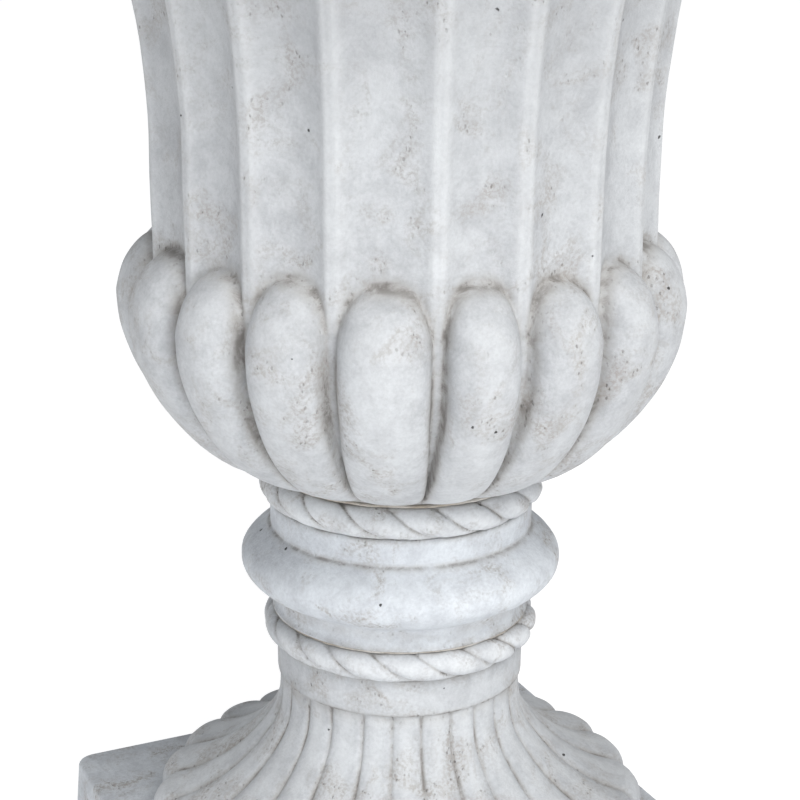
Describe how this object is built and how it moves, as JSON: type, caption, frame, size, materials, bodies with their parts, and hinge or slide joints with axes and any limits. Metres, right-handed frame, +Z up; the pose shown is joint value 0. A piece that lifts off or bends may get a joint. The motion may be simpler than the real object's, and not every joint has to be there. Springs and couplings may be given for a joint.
{
  "type": "urn planter",
  "caption": "Classical pedestal urn planter in cast stone: fluted bell over a gadrooned belly, rope-ringed stem, reeded foot on a square plinth, with a drain and lift-out plug.",
  "frame": {"origin": "on the ground under the middle of the square plinth", "axes": "+Z up along the urn's axis; X and Y square to the plinth's sides"},
  "size_m": [0.4039, 0.404, 0.711],
  "materials": {
    "cast_stone": "matt cast stone, light cool grey with a faint warm wash in the hollows",
    "mortar": "dull sandy mortar, slightly darker than the castings",
    "steel": "dull galvanised steel",
    "brass": "dull cast brass",
    "rubber": "black moulded rubber"
  },
  "bodies": {
    "urn": {"foot_pads": "rubber", "plinth_casting": "cast_stone", "foot_bed": "mortar", "foot_casting": "cast_stone", "lower_rope_ring": "cast_stone", "stem_bed": "mortar", "stem_casting": "cast_stone", "upper_rope_ring": "cast_stone", "bowl_bed": "mortar", "bowl_casting": "cast_stone", "tie_tube": "steel", "clamp_washer": "steel", "lock_nut": "steel", "drain_gasket": "rubber", "drain_flange": "brass"},
    "plug": {"drain_plug": "rubber"}
  },
  "joints": [
    {"name": "plug_lift", "type": "slide", "parent": "urn", "child": "plug", "axis": [0, 0, 1], "range_m": [0, 0.45]}
  ]
}
